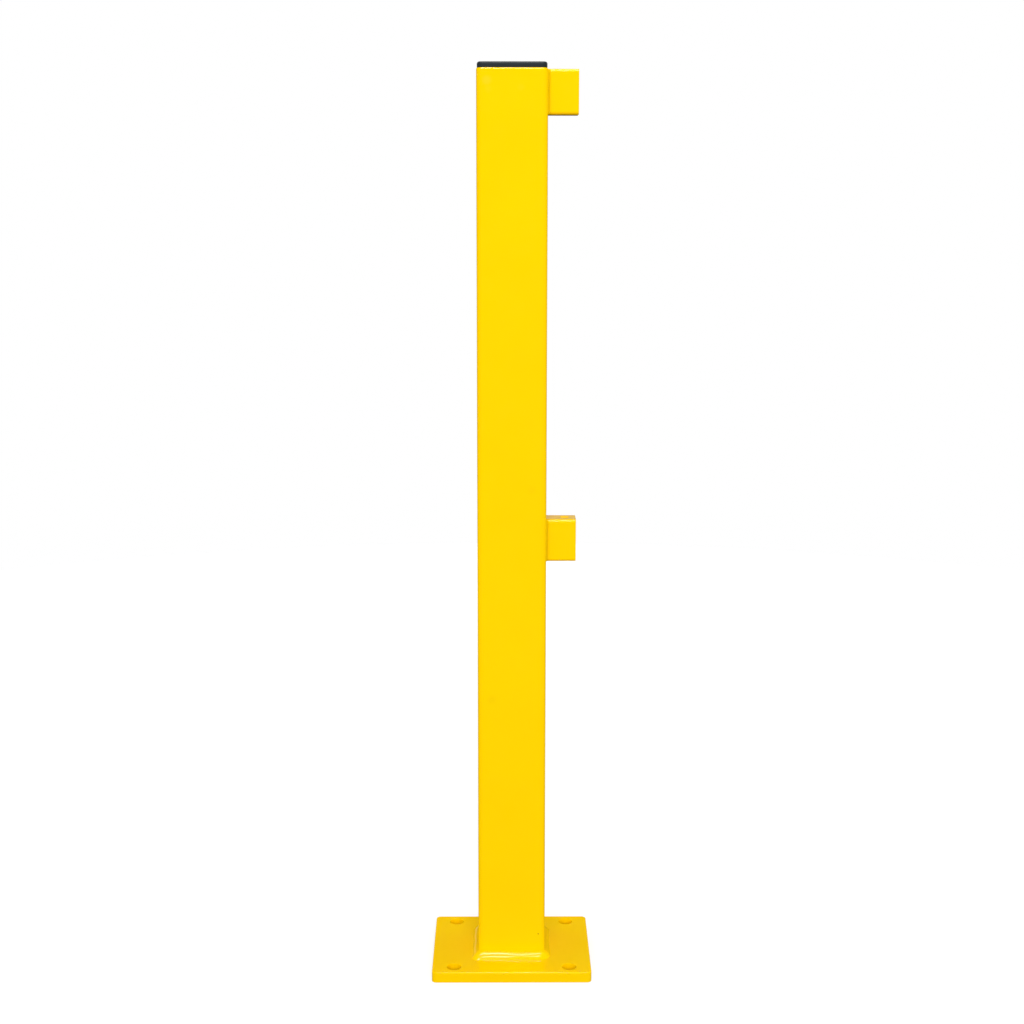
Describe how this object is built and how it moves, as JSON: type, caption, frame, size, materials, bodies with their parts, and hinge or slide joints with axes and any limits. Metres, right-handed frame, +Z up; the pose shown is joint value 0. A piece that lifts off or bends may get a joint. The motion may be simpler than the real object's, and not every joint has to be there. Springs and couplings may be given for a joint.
{
  "type": "safety railing end post",
  "caption": "Square steel railing end post on a bolted base plate, with a plastic end cap and short rectangular spigots on one side for the top and middle rails.",
  "frame": {"origin": "on the floor, at the middle of the base plate's underside", "axes": "+Z up along the post, +X the way the rail spigots point, +Y to the back"},
  "size_m": [0.178, 0.154, 1],
  "materials": {
    "yellow_powder_coat": "glossy traffic-yellow powder coat on steel",
    "coated_weld": "rippled fillet weld under the same yellow powder coat",
    "black_plastic": "satin moulded polyethylene"
  },
  "bodies": {
    "root": {"base_plate": "yellow_powder_coat", "post_tube": "yellow_powder_coat", "end_cap": "black_plastic", "top_rail_spigot": "yellow_powder_coat", "middle_rail_spigot": "yellow_powder_coat", "top_spigot_weld_front": "coated_weld", "top_spigot_weld_back": "coated_weld", "middle_spigot_weld_front": "coated_weld", "middle_spigot_weld_back": "coated_weld", "foot_weld_front": "coated_weld", "foot_weld_back": "coated_weld", "foot_weld_left": "coated_weld", "foot_weld_right": "coated_weld"}
  },
  "joints": []
}
